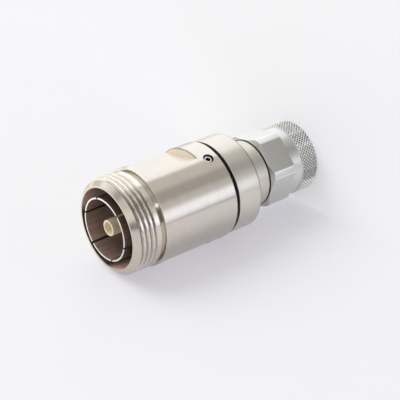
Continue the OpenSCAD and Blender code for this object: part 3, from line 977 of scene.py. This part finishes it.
def nut_angles():
    """Even columns for the knurl, and columns that meet the hexagon's edges."""
    half_steps = 2 * KNURL_COUNT * KNURL_SPLIT
    per_face = half_steps // 6
    flat_columns = round(per_face * HEX_FLAT_SHARE / 2) * 2
    worn = HEX_EDGE / HEX_TURNED_R
    faceted = []
    for k in range(6):
        centre = k * TURN / 6
        low = centre - HEX_CORNER
        high = centre + HEX_CORNER
        next_low = centre + TURN / 6 - HEX_CORNER
        flat = np.linspace(low + worn, high - worn, flat_columns - 1)
        corner = np.linspace(high + worn, next_low - worn, per_face - flat_columns - 1)
        faceted += [low, *flat, high, *corner]
    return even_angles(half_steps) - HEX_CORNER, np.array(faceted)


def hex_radius(angles):
    """Radius of the hexagon with its corners turned off and the edges between them worn."""
    off = np.abs(off_middle(angles))
    on_edge = np.abs(off - HEX_CORNER) < SAME
    return np.minimum(HEX_APOTHEM / np.cos(off), HEX_TURNED_R) - HEX_WORN * on_edge


def hex_crease(radius):
    """Height at which the hexagon's chamfer begins, for a radius of the hexagon."""
    slope = (NUT_LEN - HEX_CHAMFER_Z) / (HEX_TURNED_R - HEX_FACE_R)
    return HEX_CHAMFER_Z + (HEX_TURNED_R - radius) * slope


def knurl_rows():
    """Radius and height of each row of the knurl, with a pyramid at every second half step."""
    row_count = KNURL_ROWS * KNURL_SPLIT
    across = np.arange(2 * KNURL_COUNT * KNURL_SPLIT) / KNURL_SPLIT
    rows = []
    for j in range(row_count + 1):
        height = KNURL_LEN * j / row_count
        up = j / KNURL_SPLIT
        first = np.abs((across + up) % 2 - 1)
        second = np.abs((across - up) % 2 - 1)
        rise = np.minimum(np.minimum(first, second) / KNURL_CREST, 1)
        radius = KNURL_R - KNURL_DEPTH * (1 - rise)
        into_edge = max(0.0, KNURL_EDGE - height, height - (KNURL_LEN - KNURL_EDGE))
        rows.append((np.minimum(radius, KNURL_R - into_edge * KNURL_EDGE_SLOPE), height))
    return rows


def make_nut():
    """The coupling nut's mesh."""
    even, faceted = nut_angles()
    width = len(even)
    hexagon = hex_radius(faceted)
    crease = hex_crease(hexagon)

    # Outside, from the front face up to the end of the hexagon and into the bore
    rows = [around(NUT_THREAD_R + NUT_LEAD + FINE_EDGE, 0, even)]
    rows.append(around(KNURL_R - KNURL_EDGE * KNURL_EDGE_SLOPE - SUPPORT, 0, even))
    knurl_first = len(rows)
    rows += rows_around(knurl_rows(), even)
    knurl_last = len(rows) - 1
    collar = [(COLLAR_R + FINE_EDGE, KNURL_LEN), (COLLAR_R, KNURL_LEN + FINE_EDGE)]
    collar += [(COLLAR_R, KNURL_LEN + COLLAR_SUPPORT)]
    rows += rows_around(collar, even)
    upper = [(COLLAR_R, HEX_Z - SUPPORT), (COLLAR_R, HEX_Z)]
    upper += [(np.maximum(hexagon - EDGE, COLLAR_R), HEX_Z), (hexagon, HEX_Z + EDGE)]
    upper += [(hexagon, HEX_Z + HEX_SUPPORT), (hexagon, crease - HEX_EDGE), (hexagon - HEX_WORN, crease)]
    upper += [(HEX_FACE_R + HEX_WORN, NUT_LEN - HEX_WORN), (HEX_FACE_R - FINE_EDGE, NUT_LEN)]
    upper += [(NUT_BORE_R + NUT_BORE_EDGE, NUT_LEN), (NUT_BORE_R, NUT_LEN - NUT_BORE_EDGE)]
    rows += rows_around(upper, faceted)

    # Inside, back down through the groove and the thread
    inner = [(NUT_BORE_R, GROOVE_TOP_Z), (NUT_GROOVE_R, GROOVE_TOP_Z), (NUT_GROOVE_R, GROOVE_Z)]
    inner += [(NUT_BORE_R, GROOVE_Z), (NUT_BORE_R, NUT_THREAD_LEN), (NUT_RELIEF_R, NUT_THREAD_LEN)]
    inner += [(NUT_RELIEF_R, NUT_THREAD_TOP_Z), (NUT_THREAD_R, NUT_THREAD_TOP_Z)]
    rows += rows_around(inner, even)
    for height in np.linspace(NUT_THREAD_TOP_Z - FINE_EDGE, FINE_EDGE, NUT_THREAD_ROWS):
        off_groove = off_helix(height, even, NUT_THREAD_PITCH)
        groove = 1 - smooth_step(NUT_THREAD_FLOOR, NUT_THREAD_HALF, off_groove)
        lead = NUT_THREAD_R + max(0.0, NUT_LEAD - height)
        rows.append(around(np.maximum(NUT_THREAD_R + NUT_THREAD_DEPTH * groove, lead), height, even))

    # Faces, with each quad of the knurl split along its pyramid's ridges
    faces = []
    for index, face in enumerate(grid_faces(len(rows), width)):
        row = index // width
        if not knurl_first <= row < knurl_last:
            faces.append(face)
            continue
        level = (row - knurl_first) // KNURL_SPLIT
        side = index % width // KNURL_SPLIT
        low_left, low_right, high_right, high_left = face
        if (level + side) % 2:
            faces += [(low_left, low_right, high_right), (low_left, high_right, high_left)]
        else:
            faces += [(low_left, low_right, high_left), (low_right, high_right, high_left)]
    materials = [nut_plate, knurl_plate, gap_shade_plate, nut_edge_highlight, chamfer_shade_plate]
    add_piece("coupling_nut_turned", np.concatenate(rows), faces, "nut",
              materials, ["coupling_nut"], nut_material)


def nut_material(radius, height):
    """The knurl has its own material, the hexagon's edges carry a painted highlight, and its chamfer and end
    are painted darker as painted shade.
    """
    if height > NUT_LEN - TOUCH:
        return gap_shade_plate
    under_crease = hex_crease(radius) - height
    if height > HEX_CHAMFER_Z and radius > HEX_FACE_R - TOUCH and under_crease < CREASE_NEAR:
        return chamfer_shade_plate
    if height > HEX_Z and radius > COLLAR_R + NEAR and under_crease > CREASE_NEAR:
        on_corner = HEX_TURNED_R - FINE_EDGE < radius < HEX_TURNED_R - CORNER_NEAR
        if on_corner or height < HEX_Z + EDGE + NEAR or under_crease < EDGE:
            return nut_edge_highlight
    knurl_low = KNURL_EDGE - SUPPORT
    on_knurl = knurl_low < height < KNURL_LEN - knurl_low and radius > COLLAR_R + NEAR
    return knurl_plate if on_knurl else nut_plate


make_nut()


# Materials of the CAD nodes that stay

NODE_MATERIALS = {
    "front_bead": bead_plastic,
    "centre_conductor": gold_plate,
    "transition_sleeve": contact_plate,
    "rear_bead": bead_plastic,
    "centre_pin": gold_plate,
    "plug_contact": contact_plate,
    "gasket": gasket_rubber,
    "retaining_ring": screw_steel,
}
for name, material in NODE_MATERIALS.items():
    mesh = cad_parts[name].data
    mesh.materials.clear()
    mesh.materials.append(material)


# Studio: a world of soft panels around the part, which the metal reflects

# Each panel: name, direction in degrees, half width at full strength, half width where it ends, colour
PANELS = [
    ("side fill", -121, 0, 60, (0.82, 0.85, 0.88)),
    ("low fill", -69, 4, 16, (0.64, 0.64, 0.62)),
    ("narrow window", -92, 3, 20, (1.20, 1.25, 1.33)),
    ("window bar", -111, 1.5, 5.5, (0.36, 0.38, 0.40)),
    ("warm fill", -14, 12, 38, (0.67, 0.65, 0.60)),
    ("dark flag", -49, 5, 20, (0.44, 0.43, 0.40)),
    ("back fill", 88, 10, 26, (0.74, 0.77, 0.73)),
    ("softbox", 36, 36, 42, (1.26, 1.28, 1.29)),
]
# Each spot: name, direction and height in degrees, then half widths and colour as for a panel
SPOTS = [
    ("rear panel", 111, 33, 14, 28, (1.12, 1.10, 1.02)),
    ("camera and its stand", -96, 46, 13, 25, (0.16, 0.15, 0.15)),
    ("gap beside the softbox", 7, 45, 4, 13, (0.42, 0.42, 0.40)),
    ("high lamp", -58, 60, 6, 16, (0.98, 0.95, 0.90)),
    ("photographer", -95, 30, 20, 29, (0.16, 0.15, 0.16)),
    ("small lamp", -61, 33, 2.5, 5.5, (4.8, 5.1, 5.4)),
    ("far end of the softbox", 68, 12, 8, 22, (0.86, 0.83, 0.76)),
    ("dark table edge", 0, -90, 34, 50, (0.07, 0.07, 0.07)),
]
ROOM = (0.44, 0.45, 0.49)
OVERHEAD = (0.76, 0.76, 0.75)
OVERHEAD_START = 0.40
OVERHEAD_FULL = 0.72
BACKDROP = (0.925, 0.918, 0.933)


def make_world():
    """The studio's panels and spots, stacked one over another by where they lie around the part."""
    world = bpy.data.worlds.new("studio")
    scene.world = world
    world.use_nodes = True
    tree = world.node_tree
    where = node(tree, "ShaderNodeTexCoord").outputs["Generated"]
    flat = node(tree, "ShaderNodeVectorMath", operation="NORMALIZE")
    tree.links.new(vector_node(tree, "MULTIPLY", where, (1, 1, 0)), flat.inputs[0])

    def over(colour, name, way, aim_at, inner, outer, tint):
        """Lays a panel or spot over the colour so far."""
        facing = vector_node(tree, "DOT_PRODUCT", way, aim_at, name)
        off = math_node(tree, "ARCCOSINE", math_node(tree, "MINIMUM", facing, 1.0))
        share = map_range(tree, off, math.radians(outer), math.radians(inner), smooth=True)
        return mix_colour(tree, share, colour, tint)

    colour = ROOM
    for name, direction, inner, outer, tint in PANELS:
        colour = over(colour, name, flat.outputs[0], bearing(direction), inner, outer, tint)
    height = split_vector(tree, where)[2]
    high = map_range(tree, height, OVERHEAD_START, OVERHEAD_FULL, smooth=True)
    colour = mix_colour(tree, high, colour, OVERHEAD)
    for name, direction, height, inner, outer, tint in SPOTS:
        colour = over(colour, name, where, bearing(direction, height), inner, outer, tint)
    seen = node(tree, "ShaderNodeLightPath").outputs["Is Camera Ray"]
    tree.links.new(mix_colour(tree, seen, colour, BACKDROP), tree.nodes["Background"].inputs["Color"])


make_world()


# Floor and backdrop

# Sizes of the sheets, and where mirrors see the backdrop's bright area, in metres
SHEET_REACH = 3.0
BACKDROP_DROP = Vector((0, 0, -0.08))
BACKDROP_NORMAL = Vector(bearing(-15))
BACKDROP_ALONG = Vector((-BACKDROP_NORMAL.y, BACKDROP_NORMAL.x, 0))
BACKDROP_OFF = (BARREL_R + 0.05) * MM
MIRRORED_BESIDE = (0.005, 0.025)
MIRRORED_ABOVE = (0.050, 0.066)

FLOOR_GLOW = (0.242, 0.237, 0.257)
SHEET_GLOW = (0.395, 0.388, 0.435)
MIRRORED_GLOW = (0.27, 0.268, 0.30)
MIRRORED_LIGHT = (0.72, 0.69, 0.56)


def make_sheet(name, corners, light, dark, one_sided=False):
    """A large sheet of pale paper, which takes the part's soft shadow.

    A one-sided one is clear from behind. Mirrors see it darker than the camera does, but for a bright area.
    """
    mesh = bpy.data.meshes.new(name)
    mesh.from_pydata([tuple(corner) for corner in corners], [], [(0, 1, 2, 3)])
    sheet = add_object(name, mesh)
    made, tree, shader, where = new_material(name + "_paper")
    mottle = map_range(tree, noise(tree, where, scale=40, roughness=0.5), 0.3, 0.7)
    tree.links.new(mix_colour(tree, mottle, light, dark), shader.inputs["Base Color"])
    set_inputs(shader, {"Roughness": 1.0, "Specular IOR Level": 0.0})
    set_inputs(shader, {"Emission Color": (*FLOOR_GLOW, 1), "Emission Strength": 1.0})
    if one_sided:
        side = vector_node(tree, "DOT_PRODUCT", where, BACKDROP_ALONG)
        beside = map_range(tree, side, *MIRRORED_BESIDE, smooth=True)
        above = map_range(tree, split_vector(tree, where)[2], *MIRRORED_ABOVE, smooth=True)
        bright = math_node(tree, "MULTIPLY", beside, above)
        mirrored = mix_colour(tree, bright, MIRRORED_GLOW, MIRRORED_LIGHT)
        in_mirror = node(tree, "ShaderNodeLightPath").outputs["Is Glossy Ray"]
        tree.links.new(mix_colour(tree, in_mirror, SHEET_GLOW, mirrored), shader.inputs["Emission Color"])
        clear = node(tree, "ShaderNodeBsdfTransparent")
        choice = node(tree, "ShaderNodeMixShader")
        tree.links.new(node(tree, "ShaderNodeNewGeometry").outputs["Backfacing"], choice.inputs[0])
        tree.links.new(shader.outputs[0], choice.inputs[1])
        tree.links.new(clear.outputs[0], choice.inputs[2])
        tree.links.new(choice.outputs[0], tree.nodes["Material Output"].inputs["Surface"])
    mesh.materials.append(made)
    sheet.visible_glossy = one_sided
    sheet.visible_diffuse = False
    sheet.visible_shadow = False


make_sheet("floor", [
    (-SHEET_REACH, -SHEET_REACH, 0), (SHEET_REACH, -SHEET_REACH, 0),
    (SHEET_REACH, SHEET_REACH, 0), (-SHEET_REACH, SHEET_REACH, 0),
], (0.668, 0.664, 0.668), (0.662, 0.658, 0.662))

foot = -BACKDROP_NORMAL * BACKDROP_OFF
reach = BACKDROP_ALONG * SHEET_REACH
top = Vector((0, 0, SHEET_REACH))
make_sheet("backdrop", [
    foot - reach + BACKDROP_DROP, foot + reach + BACKDROP_DROP, foot + reach + top, foot - reach + top,
], (0.430, 0.428, 0.407), (0.425, 0.423, 0.402), one_sided=True)


# Lamps and camera, in metres

LAMP_TARGET = (0, 0, 0.03)
SOFT_LAMP_AT = BACKDROP_NORMAL * 1.3 + BACKDROP_ALONG * 0.97 + Vector((0, 0, 0.6))
FILL_LAMP_AT = BACKDROP_NORMAL * 0.4 - BACKDROP_ALONG * 0.5 + Vector((0, 0, 1.9))
CAMERA_AT = (0.10774, -0.2825, 0.23516)
CAMERA_TARGET = (-0.00258, 0.00069, 0.03528)
CAMERA_UP = (0.9659, -0.2588, 0)


def aim(obj, target, up=None):
    """Turns a lamp or camera towards a point, with an optional direction for the top of its view."""
    back = (obj.location - Vector(target)).normalized()
    if up is None:
        obj.rotation_euler = back.to_track_quat("Z", "Y").to_euler()
        return
    right = Vector(up).cross(back).normalized()
    obj.rotation_euler = Matrix((right, back.cross(right), back)).transposed().to_euler()


def make_lamp(name, size, energy, place):
    """A round soft lamp, aimed at the part, which the metal doesn't reflect."""
    data = bpy.data.lights.new(name, "AREA")
    data.shape = "DISK"
    data.size = size
    data.energy = energy
    lamp = add_object(name, data)
    lamp.location = place
    aim(lamp, LAMP_TARGET)
    lamp.visible_glossy = False


make_lamp("soft_lamp", size=1.5, energy=18.5, place=SOFT_LAMP_AT)
make_lamp("fill_lamp", size=0.8, energy=5.0, place=FILL_LAMP_AT)

camera_data = bpy.data.cameras.new("camera")
camera_data.sensor_width = 36
camera_data.lens = 117
camera_data.clip_start = 0.01
camera = add_object("camera", camera_data)
camera.location = CAMERA_AT
aim(camera, CAMERA_TARGET, up=CAMERA_UP)
scene.camera = camera

scene.view_settings.view_transform = "Standard"

bpy.context.view_layer.update()
